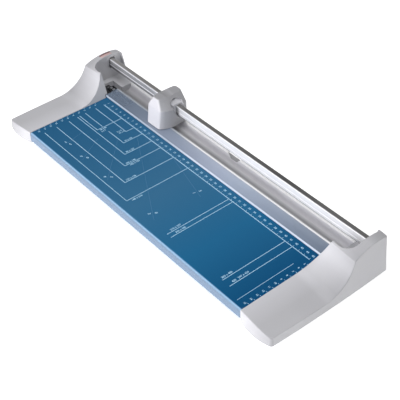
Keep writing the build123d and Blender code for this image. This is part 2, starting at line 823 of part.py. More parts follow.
def press_shoe():
    low = strip_top + shoe_clearance
    high = low + shoe_height
    inside = head_block(head_wall + shoe_gap, overrun)
    near = -rim_front - overrun
    shoe = inside & block((-rim_half, rim_half), (near, -shoe_back), (low, high))
    room = head_block(head_wall + shoe_gap + shoe_wall, overrun)
    room &= block((-rim_half, rim_half), (near, -shoe_back - shoe_wall), (low + shoe_wall, high + overrun))
    return shoe - room


def blade_axle():
    seat = blade_side_fit - hub_flange - axle_head_gap
    front = seat - axle_head_height
    back = saddle_front + axle_grip - thread_clearance
    return turned_y([
        (0, front), (axle_head_radius, front), (axle_head_radius, seat),
        (axle_radius, seat), (axle_radius, back), (0, back),
    ])


def blade_washer():
    """A coned spring washer that presses the blade against the lower blade."""
    near = blade_back + clip_thickness + washer_fit
    far = saddle_front - washer_fit
    inner = axle_radius + washer_fit
    return turned_y([
        (inner, near), (inner, near + washer_sheet),
        (washer_radius, far), (washer_radius, far - washer_sheet),
    ])


def rotary_blade():
    bore = hub_sleeve_radius + hub_fit
    return turned_y([
        (bore, blade_side_fit), (blade_radius, blade_side_fit), (blade_radius, blade_side_fit + blade_edge),
        (blade_radius - blade_bevel, blade_back), (bore, blade_back),
    ])


def blade_hub():
    bore = axle_radius + axle_fit
    front = blade_side_fit - hub_flange
    back = blade_back + clip_thickness
    return turned_y([
        (bore, front), (hub_radius, front), (hub_radius, blade_side_fit), (hub_sleeve_radius, blade_side_fit),
        (hub_sleeve_radius, back), (bore, back),
    ])


def blade_clip():
    bore = hub_sleeve_radius + hub_fit
    back = blade_back + clip_thickness
    return turned_y([(bore, blade_back), (clip_radius, blade_back), (clip_radius, back), (bore, back)])


def base_pieces():
    pieces = {
        "table_plate": table_plate(),
        "lower_blade": lower_blade(),
        "lower_blade_screws": Compound(children=lower_blade_screws()),
        "rear_channel": rear_channel(),
        "back_lip": back_lip(),
        "notch_tray": notch_tray(),
        "guide_rail": guide_rail(),
    }
    paired = {
        "end_cap": right_end_cap(),
        "cap_screws": cap_screws(),
        "clamp_pin": clamp_pin(),
        "clamp_spring": clamp_spring(),
    }
    for name, (x, y) in zip(("front_foot", "back_foot"), foot_places()):
        paired[name] = foot(x, y)
    return pieces, paired


def clamp_pieces():
    return {"clamp_strip": clamp_strip()}, {"clamp_block": clamp_block(), "clamp_rivets": clamp_rivets()}


def head_pieces():
    pieces = {
        "head_hood": head_hood(),
        "saddle": saddle(),
        "rail_keeper": rail_keeper(),
        "hood_screws": hood_screws(),
        "keeper_screws": keeper_screws(),
        "press_shoe": press_shoe(),
    }
    pieces["right_glide_liner"], pieces["left_glide_liner"] = both_sides(glide_liner())
    wheel = {
        "blade_axle": blade_axle(),
        "blade_washer": blade_washer(),
        "rotary_blade": rotary_blade(),
        "blade_hub": blade_hub(),
        "blade_clip": blade_clip(),
    }
    for name, piece in wheel.items():
        pieces[name] = Pos(0, 0, blade_rise) * piece
    return {name: Pos(head_rest, 0, 0) * piece for name, piece in pieces.items()}


def main():
    pieces = head_pieces()
    for single, paired in (base_pieces(), clamp_pieces()):
        pieces.update(single)
        for name, piece in paired.items():
            pieces["right_" + name], pieces["left_" + name] = both_sides(piece)
    os.makedirs("parts", exist_ok=True)
    frame = Pos(0, (table_depth + front_bulge - rear_depth) / 2, table_height)
    for name, piece in pieces.items():
        export_step(frame * piece, f"parts/{name}.step")


main()
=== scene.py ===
import math

import bmesh
import bpy
from mathutils import Matrix, Vector


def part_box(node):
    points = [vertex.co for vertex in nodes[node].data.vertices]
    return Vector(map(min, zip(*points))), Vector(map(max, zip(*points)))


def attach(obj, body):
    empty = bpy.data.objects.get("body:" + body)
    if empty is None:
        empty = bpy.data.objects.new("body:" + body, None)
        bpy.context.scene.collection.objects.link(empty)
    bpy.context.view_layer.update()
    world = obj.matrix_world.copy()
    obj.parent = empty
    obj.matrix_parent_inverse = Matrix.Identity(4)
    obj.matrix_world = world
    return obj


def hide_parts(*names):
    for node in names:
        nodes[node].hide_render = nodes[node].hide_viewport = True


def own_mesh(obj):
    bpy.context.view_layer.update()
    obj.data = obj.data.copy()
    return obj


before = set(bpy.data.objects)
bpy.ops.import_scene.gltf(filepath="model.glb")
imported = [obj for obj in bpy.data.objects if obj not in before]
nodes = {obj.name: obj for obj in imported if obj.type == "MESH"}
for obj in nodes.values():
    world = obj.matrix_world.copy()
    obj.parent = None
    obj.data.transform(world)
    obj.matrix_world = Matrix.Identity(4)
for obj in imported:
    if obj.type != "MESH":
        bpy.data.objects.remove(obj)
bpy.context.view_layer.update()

print("frame loaded,", len(nodes), "CAD nodes")


def screenColour(red, green, blue):  # 0 to 255 as on screen, turned to a linear shader colour
    linear = []
    for part in (red, green, blue):
        share = part / 255
        linear.append(share / 12.92 if share <= 0.04045 else ((share + 0.055) / 1.055) ** 2.4)
    return (*linear, 1.0)


# Camera, from the fit to the printed format lines

cameraView = {
    "place": (0.83256, -0.63373, 0.89477),
    "turn": (50.896, -0.130, 48.671),  # degrees
    "lens": 89.30, "sensor": 36.0,     # mm
    "shift": (-0.09025, -0.08361),
    "clip": (0.05, 30.0),              # m
}


def addCamera(view):
    data = bpy.data.cameras.new("trimmerCamera")
    data.lens = view["lens"]
    data.sensor_width = view["sensor"]
    data.sensor_fit = "HORIZONTAL"
    data.shift_x, data.shift_y = view["shift"]
    data.clip_start, data.clip_end = view["clip"]
    camera = bpy.data.objects.new("trimmerCamera", data)
    camera.location = view["place"]
    camera.rotation_euler = [math.radians(angle) for angle in view["turn"]]
    bpy.context.scene.collection.objects.link(camera)
    bpy.context.scene.camera = camera


addCamera(cameraView)
print("camera placed")


# Small helpers for node trees

def addNode(tree, kind, **settings):
    node = tree.nodes.new(kind)
    for key, value in settings.items():
        setattr(node, key, value)
    return node


def remap(tree, value, ends, out=(0, 1)):  # a value between two ends, clamped, as a share of out
    node = addNode(tree, "ShaderNodeMapRange", clamp=True)
    for label, number in zip(("From Min", "From Max", "To Min", "To Max"), (*ends, *out)):
        node.inputs[label].default_value = number
    tree.links.new(value, node.inputs["Value"])
    return node.outputs["Result"]


def joinValues(tree, operation, *values):
    node = addNode(tree, "ShaderNodeMath", operation=operation)
    for socket, value in zip(node.inputs, values):
        tree.links.new(value, socket)
    return node.outputs["Value"]


def splitAxes(tree, label):  # X, Y and Z of a place (Object), a facing (Normal) or the sky (Generated)
    place = addNode(tree, "ShaderNodeTexCoord")
    split = addNode(tree, "ShaderNodeSeparateXYZ")
    tree.links.new(place.outputs[label], split.inputs["Vector"])
    return split.outputs


def mixColours(tree, mask, low, high):  # low where the mask is 0; either may be a socket
    mix = addNode(tree, "ShaderNodeMix", data_type="RGBA")
    tree.links.new(mask, mix.inputs[0])
    for socket, colour in ((mix.inputs[6], low), (mix.inputs[7], high)):
        if isinstance(colour, tuple):
            socket.default_value = colour
        else:
            tree.links.new(colour, socket)
    return mix.outputs[2]


def blendColours(tree, low, high, share):  # the same share of both all over
    mix = addNode(tree, "ShaderNodeMix", data_type="RGBA")
    mix.inputs[0].default_value = share
    tree.links.new(low, mix.inputs[6])
    tree.links.new(high, mix.inputs[7])
    return mix.outputs[2]


def colourRamp(tree, value, stops):
    ramp = addNode(tree, "ShaderNodeValToRGB")
    while len(ramp.color_ramp.elements) < len(stops):
        ramp.color_ramp.elements.new(1.0)
    for element, (share, colour) in zip(ramp.color_ramp.elements, stops):
        element.position = share
        element.color = screenColour(*colour)
    tree.links.new(value, ramp.inputs["Fac"])
    return ramp.outputs["Color"]


# Shared surface effects, each one node group

effects = {
    "edgeSamples": 6, "edgeTurn": (0.995, 0.80),  # cosine between the bevelled and the true normal
    "grainDetail": 3, "grainRough": 0.6, "cloudDetail": 2, "cloudRough": 0.5,
    "lineDetail": 4, "lineRough": 0.65, "lineStretch": (0.012, 1, 1),
    "toneSpan": (0.3, 0.7),  # the noise values that give the dark and the light tone
}


def newGroup(name, inputs, outputs):
    tree = bpy.data.node_groups.new(name, "ShaderNodeTree")
    for label, value in inputs:
        socket = tree.interface.new_socket(label, in_out="INPUT", socket_type="NodeSocketFloat")
        socket.default_value = value
    for label, kind in outputs:
        tree.interface.new_socket(label, in_out="OUTPUT", socket_type=kind)
    return tree, tree.nodes.new("NodeGroupInput"), tree.nodes.new("NodeGroupOutput")


def addNoise(tree, place, scale, detail, rough):
    noise = addNode(tree, "ShaderNodeTexNoise")
    noise.inputs["Detail"].default_value = detail
    noise.inputs["Roughness"].default_value = rough
    tree.links.new(place, noise.inputs["Vector"])
    tree.links.new(scale, noise.inputs["Scale"])
    return noise.outputs["Fac"]


def softEdgeGroup(style):  # rounds a sharp edge in shading, and marks where it is
    tree, start, end = newGroup(
        "softEdge", [("Radius", 0.0006)], [("Normal", "NodeSocketVector"), ("Edge", "NodeSocketFloat")])
    bevel = addNode(tree, "ShaderNodeBevel", samples=style["edgeSamples"])
    geometry = addNode(tree, "ShaderNodeNewGeometry")
    dot = addNode(tree, "ShaderNodeVectorMath", operation="DOT_PRODUCT")
    link = tree.links.new
    link(start.outputs["Radius"], bevel.inputs["Radius"])
    link(bevel.outputs["Normal"], dot.inputs[0])
    link(geometry.outputs["Normal"], dot.inputs[1])
    link(bevel.outputs["Normal"], end.inputs["Normal"])
    link(remap(tree, dot.outputs["Value"], style["edgeTurn"]), end.inputs["Edge"])
    return tree


def mouldGrainGroup(style):  # spark-eroded mould grain, and slow clouds of tone
    tree, start, end = newGroup(
        "mouldGrain", [("Grain", 1600.0), ("Cloud", 14.0)],
        [("Height", "NodeSocketFloat"), ("Tone", "NodeSocketFloat")])
    place = addNode(tree, "ShaderNodeTexCoord").outputs["Object"]
    grain = addNoise(tree, place, start.outputs["Grain"], style["grainDetail"], style["grainRough"])
    cloud = addNoise(tree, place, start.outputs["Cloud"], style["cloudDetail"], style["cloudRough"])
    tree.links.new(grain, end.inputs["Height"])
    tree.links.new(remap(tree, cloud, style["toneSpan"]), end.inputs["Tone"])
    return tree


def drawnLinesGroup(style):  # fine lines along X, as an extrusion die or a grinding belt leaves them
    tree, start, end = newGroup(
        "drawnLines", [("Fine", 900.0)], [("Height", "NodeSocketFloat"), ("Tone", "NodeSocketFloat")])
    place = addNode(tree, "ShaderNodeTexCoord")
    stretch = addNode(tree, "ShaderNodeMapping")
    stretch.inputs["Scale"].default_value = style["lineStretch"]
    tree.links.new(place.outputs["Object"], stretch.inputs["Vector"])
    lines = addNoise(
        tree, stretch.outputs["Vector"], start.outputs["Fine"], style["lineDetail"], style["lineRough"])
    tree.links.new(lines, end.inputs["Height"])
    tree.links.new(remap(tree, lines, style["toneSpan"]), end.inputs["Tone"])
    return tree


softEdge = softEdgeGroup(effects)
mouldGrain = mouldGrainGroup(effects)
drawnLines = drawnLinesGroup(effects)
print("surface effects made")


# Finishes: colours as on screen, ends of masks in metres of the frame or as parts of the normal

paleGreyPlastic = {
    "group": mouldGrain, "grain": {"Grain": 1500.0, "Cloud": 9.0},
    "dark": screenColour(196, 196, 199), "light": screenColour(203, 203, 206),
    # the pale edge colour is a painted highlight along the edges
    "edgeWearAndHighlight": screenColour(226, 226, 228), "edgeWearAndHighlightShare": 0.7, "edgeRadius": 0.0008,
    "rough": (0.42, 0.50), "bump": 0.10, "depth": 0.0002,
}
capPlasticPaintedLight = {  # end caps, with painted light on the flat tops beside the table and painted shade on the outer part of the swoop
    **paleGreyPlastic,
    "layers": [
        {"colour": screenColour(218, 218, 222), "out": (0.264, 0.232), "facing": ("Z", (0.94, 0.985))},
        {"colour": screenColour(168, 168, 171), "out": (0.243, 0.288), "facing": ("Y", (-0.08, -0.35))},
    ],
}
hoodPlastic = {  # head hood, its sides and top painted darker as painted shade, its front painted paler as painted light
    **paleGreyPlastic, "dark": screenColour(166, 166, 169), "light": screenColour(173, 173, 176),
    "layers": [{"colour": screenColour(222, 220, 223), "facing": ("Y", (-0.45, -0.85))}],
}
lightGreyPlastic = {  # carriage
    "group": mouldGrain, "grain": {"Grain": 900.0, "Cloud": 30.0},
    "dark": screenColour(222, 222, 226), "light": screenColour(230, 230, 234),
    "edgeWearAndHighlight": screenColour(240, 240, 243), "edgeWearAndHighlightShare": 0.5, "edgeRadius": 0.0006,
    "rough": (0.34, 0.44), "bump": 0.05, "depth": 0.0002,
}
whiteBearingPlastic = {  # glide liners
    "group": mouldGrain, "grain": {"Grain": 700.0, "Cloud": 60.0},
    "dark": screenColour(226, 226, 220), "light": screenColour(236, 236, 231),
    "edgeWearAndHighlight": screenColour(240, 240, 236), "edgeWearAndHighlightShare": 0.4, "edgeRadius": 0.0003,
    "rough": (0.30, 0.40), "bump": 0.04, "depth": 0.0001,
}
darkPlastic = {  # press shoe and blade hub; on the clamp blocks it is painted shade for the dark pits at the strip's ends
    "group": mouldGrain, "grain": {"Grain": 1100.0, "Cloud": 50.0},
    "dark": screenColour(46, 47, 50), "light": screenColour(58, 59, 62),
    "edgeWearAndHighlight": screenColour(92, 93, 96), "edgeWearAndHighlightShare": 0.6, "edgeRadius": 0.0004,
    "rough": (0.38, 0.50), "bump": 0.08, "depth": 0.0002,
}
blackRubber = {  # feet
    "group": mouldGrain, "grain": {"Grain": 800.0, "Cloud": 70.0},
    "dark": screenColour(34, 34, 35), "light": screenColour(44, 44, 45),
    "edgeWearAndHighlight": screenColour(70, 70, 70), "edgeWearAndHighlightShare": 0.5, "edgeRadius": 0.0006,
    "rough": (0.75, 0.90), "bump": 0.20, "depth": 0.0003,
}
blueEnamel = {  # folded table: a painted reflection that changes its colour along X, a painted highlight on its edges and painted sheen where the sheet folds down
    "group": mouldGrain, "grain": {"Grain": 420.0, "Cloud": 5.0},
    "dark": screenColour(28, 97, 138), "light": screenColour(37, 106, 147),
    "edgeWearAndHighlight": screenColour(120, 156, 186), "edgeWearAndHighlightShare": 0.45, "edgeRadius": 0.0008,
    "rough": (0.34, 0.42), "bump": 0.04, "depth": 0.0003,
    "length": (-0.2313, 0.2313), "paintedLightDriftShare": 0.8,
    "paintedLightDrift": [(0.0, (42, 99, 140)), (0.50, (64, 119, 157)), (0.76, (34, 110, 156)), (1.0, (0, 76, 124))],
    "layers": [  # painted highlight on the rim of the fold, then painted sheen on the fold
        {"colour": screenColour(150, 186, 216), "facing": ("Y", (-0.15, -0.45))},
        {"colour": screenColour(122, 141, 163), "facing": ("Y", (-0.55, -0.90))},
    ],
    "shader": {"Specular IOR Level": 0.1},
}
greyEnamel = {  # notch tray, and the base of the rear channel: the grey painted darker than the lip's as painted shade in the notch and the trough
    "group": mouldGrain, "grain": {"Grain": 420.0, "Cloud": 8.0},
    "dark": screenColour(172, 172, 175), "light": screenColour(179, 179, 182),
    "edgeWearAndHighlight": screenColour(232, 232, 236), "edgeWearAndHighlightShare": 0.6, "edgeRadius": 0.0006,
    "rough": (0.32, 0.40), "bump": 0.04, "depth": 0.0003,
}
shadedLeftPart = ("X", (-0.13, -0.19))  # where painted shade darkens the left part of channel and lip
channelEnamel = {  # rear channel, painted light towards the lip, painted shade on its left part
    **greyEnamel,
    "layers": [
        {"colour": screenColour(246, 246, 249), "spot": ("Y", (0.0794, 0.0850))},
        {"colour": screenColour(110, 110, 112), "spot": shadedLeftPart, "share": 0.35},
    ],
}
brightLip = {  # back lip, a lit copy of the grey: painted shade towards the cut, a painted highlight on its rolled top, painted shade on its left part
    **greyEnamel, "dark": screenColour(240, 239, 243), "light": screenColour(246, 245, 249),
    "layers": [
        {"colour": screenColour(156, 156, 158), "spot": ("Y", (0.0865, 0.0785))},
        # painted highlight along the rolled top
        {"colour": screenColour(255, 255, 255), "spot": ("Z", (0.0162, 0.0172))},
        {"colour": screenColour(150, 150, 153), "spot": shadedLeftPart, "share": 0.3},
    ],
}
brightAluminium = {  # guide rail, satin anodised extrusion, with painted sheen on its front and a painted reflection on top
    "group": drawnLines, "grain": {"Fine": 1400.0},
    "dark": screenColour(218, 219, 222), "light": screenColour(226, 227, 230),
    "edgeWearAndHighlight": screenColour(240, 240, 242), "edgeWearAndHighlightShare": 0.6, "edgeRadius": 0.0006,
    "rough": (0.50, 0.56), "bump": 0.02, "depth": 0.0001,
    "height": (0.0376, 0.0531),  # foot and top of the front face
    # painted sheen: bands of highlight across the front's height, dim here and lit below
    "dimFrontSheen": [
        (0.0, (118, 118, 121)), (0.30, (126, 126, 129)), (0.36, (228, 228, 231)), (0.43, (228, 228, 231)),
        (0.48, (150, 151, 154)), (0.86, (158, 159, 162)), (0.93, (222, 222, 225))],
    "litFront": [
        (0.0, (118, 118, 121)), (0.09, (138, 138, 141)), (0.14, (236, 236, 238)), (0.30, (230, 230, 232)),
        (0.36, (250, 250, 251)), (0.48, (240, 240, 241)), (0.86, (246, 246, 247)), (0.93, (252, 252, 252))],
    "litFrom": (-0.17, -0.06),   # along X, from the dim to the lit painted sheen on the front
    "length": (-0.28, 0.28),     # along X, for the painted reflection on top
    "topReflection": [
        (0.08, (208, 207, 206)), (0.36, (158, 157, 156)), (0.72, (118, 117, 117)), (0.88, (155, 154, 154))],
    "frontFacing": (-0.2, -0.5), "topFacing": (0.70, 0.95),
    "metal": (1.0, 0.25),        # elsewhere, on the front
}
rivetAluminium = {
    "group": mouldGrain, "grain": {"Grain": 900.0, "Cloud": 90.0},
    "dark": screenColour(206, 207, 210), "light": screenColour(222, 223, 226),
    "edgeWearAndHighlight": screenColour(236, 236, 238), "edgeWearAndHighlightShare": 0.5, "edgeRadius": 0.0004,
    "rough": (0.30, 0.42), "bump": 0.06, "depth": 0.0001, "shader": {"Metallic": 1.0},
}
groundSteel = {  # lower blade and round blade
    "group": drawnLines, "grain": {"Fine": 1900.0},
    "dark": screenColour(196, 198, 202), "light": screenColour(216, 218, 222),
    "edgeWearAndHighlight": screenColour(234, 235, 238), "edgeWearAndHighlightShare": 0.7, "edgeRadius": 0.0002,
    "rough": (0.20, 0.32), "bump": 0.12, "depth": 0.0001, "shader": {"Metallic": 1.0},
}
platedSteel = {  # screws, pins, axle and clip
    "group": mouldGrain, "grain": {"Grain": 1200.0, "Cloud": 120.0},
    "dark": screenColour(186, 188, 190), "light": screenColour(204, 205, 207),
    "edgeWearAndHighlight": screenColour(226, 227, 228), "edgeWearAndHighlightShare": 0.6, "edgeRadius": 0.0003,
    "rough": (0.24, 0.36), "bump": 0.05, "depth": 0.0001, "shader": {"Metallic": 1.0},
}
springSteel = {  # leaf springs and coned washer
    "group": drawnLines, "grain": {"Fine": 1500.0},
    "dark": screenColour(172, 174, 178), "light": screenColour(194, 196, 199),
    "edgeWearAndHighlight": screenColour(216, 217, 220), "edgeWearAndHighlightShare": 0.6, "edgeRadius": 0.0002,
    "rough": (0.22, 0.34), "bump": 0.08, "depth": 0.0001, "shader": {"Metallic": 1.0},
}
clearAcrylic = {  # clamp strip, satin under a polished skin; painted shade towards its ends, painted highlights on its long edges, a painted shadow at its rear, its tongues painted black as painted shade of the pits
    "grain": {"Grain": 260.0, "Cloud": 7.0}, "edgeRadius": 0.0012,
    "tint": screenColour(214, 222, 236), "haze": screenColour(200, 210, 226),
    "length": (-0.245, 0.245), "runShare": 0.8,  # along X, for the runs of painted light and shade
    "run": [
        (0.10, (108, 130, 155)), (0.52, (206, 218, 241)), (0.62, (204, 219, 241)), (1.0, (108, 130, 156))],
    "edgeHighlight": [(0.34, (180, 193, 208)), (0.44, (214, 224, 238))], "frontFacing": (-0.3, -0.65),
    "rearHighlight": [(0.30, (174, 180, 188)), (0.40, (255, 255, 255))], "rearFrom": (0.0622, 0.0626),
    "cut": screenColour(132, 138, 146), "cutFrom": (0.0652, 0.0656),
    "black": screenColour(26, 28, 30), "pitShadeFrom": (0.2352, 0.2354),
    "rough": (0.20, 0.30), "alpha": (0.55, 0.96),
    "shader": {"IOR": 1.49, "Coat Weight": 0.5, "Coat Roughness": 0.08},
}


def newFinish(name, shader):  # a material with its one shader, whose plain sockets are set here
    material = bpy.data.materials.new(name)
    material.use_nodes = True
    tree = material.node_tree
    tree.nodes.clear()
    bsdf = tree.nodes.new("ShaderNodeBsdfPrincipled")
    out = tree.nodes.new("ShaderNodeOutputMaterial")
    tree.links.new(bsdf.outputs["BSDF"], out.inputs["Surface"])
    for label, value in shader.items():
        bsdf.inputs[label].default_value = value
    return material, tree, bsdf


def useGroup(tree, group, **values):
    node = addNode(tree, "ShaderNodeGroup", node_tree=group)
    for label, value in values.items():
        node.inputs[label].default_value = value
    return node


def layerMask(tree, layer):  # where a layer of colour lies, and how strong it is there
    masks = []
    if "spot" in layer:    # a stretch of the frame
        axis, ends = layer["spot"]
        masks.append(remap(tree, splitAxes(tree, "Object")[axis], ends, (0, layer.get("share", 1))))
    if "out" in layer:     # a stretch to either side of the middle
        away = joinValues(tree, "ABSOLUTE", splitAxes(tree, "Object")["X"])
        masks.append(remap(tree, away, layer["out"]))
    if "facing" in layer:  # a part that faces one way
        axis, ends = layer["facing"]
        masks.append(remap(tree, splitAxes(tree, "Normal")[axis], ends))
    return masks[0] if len(masks) == 1 else joinValues(tree, "MULTIPLY", *masks)


def texturedFinish(name, style):  # tone, edge rubbing and a painted edge highlight, layers of colour (many of them painted light and shade), roughness and bump from the shared groups
    material, tree, bsdf = newFinish(name, style.get("shader", {}))
    link = tree.links.new
    edge = useGroup(tree, softEdge, Radius=style["edgeRadius"])
    grain = useGroup(tree, style["group"], **style["grain"])
    tone = mixColours(tree, grain.outputs["Tone"], style["dark"], style["light"])
    # edge colour: rubbing on most parts, a painted highlight along the edges of caps and table
    wearAndHighlightMask = remap(tree, edge.outputs["Edge"], (0, 1), (0, style["edgeWearAndHighlightShare"]))
    tone = mixColours(tree, wearAndHighlightMask, tone, style["edgeWearAndHighlight"])
    # painted reflection: the colour changes along X as the light falls on the table
    if "paintedLightDrift" in style:
        along = remap(tree, splitAxes(tree, "Object")["X"], style["length"])
        tone = blendColours(tree, tone, colourRamp(tree, along, style["paintedLightDrift"]), style["paintedLightDriftShare"])
    for layer in style.get("layers", []):
        tone = mixColours(tree, layerMask(tree, layer), tone, layer["colour"])
    link(tone, bsdf.inputs["Base Color"])
    link(remap(tree, grain.outputs["Tone"], (0, 1), style["rough"]), bsdf.inputs["Roughness"])
    bump = addNode(tree, "ShaderNodeBump")
    bump.inputs["Strength"].default_value = style["bump"]
    bump.inputs["Distance"].default_value = style["depth"]
    link(grain.outputs["Height"], bump.inputs["Height"])
    link(edge.outputs["Normal"], bump.inputs["Normal"])
    link(bump.outputs["Normal"], bsdf.inputs["Normal"])
    return material


def railFinish(name, style):  # painted bands of sheen and highlight along the front, lit towards the right, and a painted darker reflection on top
    material = texturedFinish(name, style)
    tree = material.node_tree
    link = tree.links.new
    bsdf = tree.nodes["Principled BSDF"]
    base = bsdf.inputs["Base Color"]
    spot, facing = splitAxes(tree, "Object"), splitAxes(tree, "Normal")
    height = remap(tree, spot["Z"], style["height"])
    bands = [colourRamp(tree, height, style[key]) for key in ("dimFrontSheen", "litFront")]
    front = mixColours(tree, remap(tree, spot["X"], style["litFrom"]), *bands)
    turned = remap(tree, facing["Y"], style["frontFacing"])
    side = mixColours(tree, turned, base.links[0].from_socket, front)
    # painted reflection on the top face, darker in places along X
    top = colourRamp(tree, remap(tree, spot["X"], style["length"]), style["topReflection"])
    link(mixColours(tree, remap(tree, facing["Z"], style["topFacing"]), side, top), base)
    link(remap(tree, turned, (0, 1), style["metal"]), bsdf.inputs["Metallic"])
    return material


def acrylicFinish(name, style):
    material, tree, bsdf = newFinish(name, style["shader"])
    link = tree.links.new
    edge = useGroup(tree, softEdge, Radius=style["edgeRadius"])
    grain = useGroup(tree, mouldGrain, **style["grain"])
    spot, facing = splitAxes(tree, "Object"), splitAxes(tree, "Normal")
    along = remap(tree, spot["X"], style["length"])
    clear = mixColours(tree, grain.outputs["Tone"], style["haze"], style["tint"])
    # painted shade: the strip darker towards its ends
    sheet = blendColours(tree, clear, colourRamp(tree, along, style["run"]), style["runShare"])
    front = remap(tree, facing["Y"], style["frontFacing"])
    # painted highlight on the front face and the edges
    pale = joinValues(tree, "MAXIMUM", front, edge.outputs["Edge"])
    edged = mixColours(tree, pale, sheet, colourRamp(tree, along, style["edgeHighlight"]))
    # painted highlight as a pale line near the rear, then a painted shadow on the last strip
    rear = remap(tree, spot["Y"], style["rearFrom"])
    cut = remap(tree, spot["Y"], style["cutFrom"])
    rearTone = mixColours(tree, cut, colourRamp(tree, along, style["rearHighlight"]), style["cut"])
    lined = mixColours(tree, rear, edged, rearTone)
    # painted shade: the tongues dark for the shaded pits
    black = remap(tree, joinValues(tree, "ABSOLUTE", spot["X"]), style["pitShadeFrom"])
    link(mixColours(tree, black, lined, style["black"]), bsdf.inputs["Base Color"])
    solid = joinValues(tree, "MAXIMUM", joinValues(tree, "MAXIMUM", pale, rear), black)
    link(remap(tree, solid, (0, 1), style["alpha"]), bsdf.inputs["Alpha"])
    link(remap(tree, grain.outputs["Height"], (0, 1), style["rough"]), bsdf.inputs["Roughness"])
    link(edge.outputs["Normal"], bsdf.inputs["Normal"])
    return material


finishes = {  # how a finish is made, its values, and the nodes that wear it
    "greyEnamel": (texturedFinish, greyEnamel, ["notch_tray"]),
    "groundSteel": (texturedFinish, groundSteel, ["lower_blade", "rotary_blade"]),
    "platedSteel": (texturedFinish, platedSteel, [
        "lower_blade_screws", "left_cap_screws", "right_cap_screws", "left_clamp_pin", "right_clamp_pin",
        "hood_screws", "keeper_screws", "blade_axle", "blade_clip"]),
    "springSteel": (texturedFinish, springSteel, [
        "left_clamp_spring", "right_clamp_spring", "blade_washer"]),
    "lightGreyPlastic": (texturedFinish, lightGreyPlastic, ["saddle", "rail_keeper"]),
    "whiteBearingPlastic": (texturedFinish, whiteBearingPlastic, ["left_glide_liner", "right_glide_liner"]),
    "darkPlastic": (texturedFinish, darkPlastic, [
        # the clamp blocks are dark as painted shade in the pits
        "press_shoe", "blade_hub", "left_clamp_block", "right_clamp_block"]),
    "rivetAluminium": (texturedFinish, rivetAluminium, ["left_clamp_rivets", "right_clamp_rivets"]),
    "blackRubber": (texturedFinish, blackRubber, [
        "left_front_foot", "right_front_foot", "left_back_foot", "right_back_foot"]),
    "clearAcrylic": (acrylicFinish, clearAcrylic, ["clamp_strip"]),
    "channelEnamel": (texturedFinish, channelEnamel, ["rear_channel"]),
    "brightLip": (texturedFinish, brightLip, ["back_lip"]),
    "brightAluminium": (railFinish, brightAluminium, ["guide_rail"]),
    "blueEnamel": (texturedFinish, blueEnamel, ["table_plate"]),
    "hoodPlastic": (texturedFinish, hoodPlastic, ["head_hood"]),
    "paleGreyPlastic": (texturedFinish, capPlasticPaintedLight, ["left_end_cap", "right_end_cap"]),
}


def dress(node, material):
    slots = nodes[node].material_slots
    if slots:
        for slot in slots:
            slot.material = material
    else:
        nodes[node].data.materials.append(material)


for finishName, (makeFinish, finishStyle, wearers) in finishes.items():
    madeFinish = makeFinish(finishName, finishStyle)
    for wearer in wearers:
        dress(wearer, madeFinish)
print("finishes on", sum(len(wearers) for *made, wearers in finishes.values()), "nodes")


# Steps that the new pieces share

mergeReach = 1e-7  # m


def finishPiece(name, bm, material, body):
    bmesh.ops.remove_doubles(bm, verts=bm.verts, dist=mergeReach)
    bmesh.ops.recalc_face_normals(bm, faces=bm.faces)
    mesh = bpy.data.meshes.new(name)
    bm.to_mesh(mesh)
    bm.free()
    mesh.materials.append(material)
    piece = bpy.data.objects.new(name, mesh)
    bpy.context.scene.collection.objects.link(piece)
    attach(piece, body)
    return piece


def raiseFaces(bm, faces, way):  # gives a sheet its thickness, and its new vertices back
    raised = bmesh.ops.extrude_face_region(bm, geom=faces)
    verts = [item for item in raised["geom"] if isinstance(item, bmesh.types.BMVert)]
    bmesh.ops.translate(bm, verts=verts, vec=way)
    return verts


def softenEdges(bm, edges, offset):
    bmesh.ops.bevel(bm, geom=edges, offset=offset, affect="EDGES", segments=2, profile=0.5, material=-1)


# Screen print on the table, as thin slabs of ink

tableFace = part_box("table_plate")[1].z
paleInk = {
    "group": mouldGrain, "grain": {"Grain": 2600.0, "Cloud": 200.0},
    "dark": screenColour(178, 226, 255), "light": screenColour(194, 233, 255),
    "edgeWearAndHighlight": screenColour(194, 233, 255), "edgeWearAndHighlightShare": 0.2, "edgeRadius": 0.00002,
    "rough": (0.45, 0.55), "bump": 0.02, "depth": 0.00005, "shader": {"Specular IOR Level": 0.1},
}
thinInk = {  # the faint angle lines, more enamel than ink
    **paleInk, "dark": screenColour(74, 128, 172), "light": screenColour(86, 140, 184),
    "edgeWearAndHighlight": screenColour(86, 140, 184), "shader": {},
}
printSheet = {  # mm from the scale's zero and the cutting edge, unless it says m
    "rulerZero": -226.7, "cutEdge": 68.5,  # where those two lie along X and Y
    "sink": 0.00002, "rise": 0.00003,      # m, how far the ink sits in the enamel and stands on it
    "line": 0.85, "tick": 0.45, "thin": 0.35,
    "bold": 0.1,            # added all round a digit
    "digitShare": 0.70,     # height of a digit against the size of the type
    "curveSteps": 3,
    "rulerLine": -42.0, "rulerSpan": (8.4, 451.0), "rulerWidth": 1.0625,
    "rulerTick": 3.2, "halfTick": 1.6,
    "rulerNumbers": -34.4, "rulerDigit": 3.0,
    "lastCentimetre": 45,
    "sideTicks": range(-150, -49, 10), "sideTickEnds": ((-4.2, -1.6), (455.0, 457.6)),
    "sideNumbers": (0.7, 452.6), "sideDrop": 2.4, "sideDigit": 2.6,
    "cardLine": ((8.0, -75.6), (52.0, -75.6)),          # the part left of the card size
    "plainRule": ((443.0, -156.0), (443.0, -62.0)), "plainWidth": 0.6,  # beside the last sheet size
}
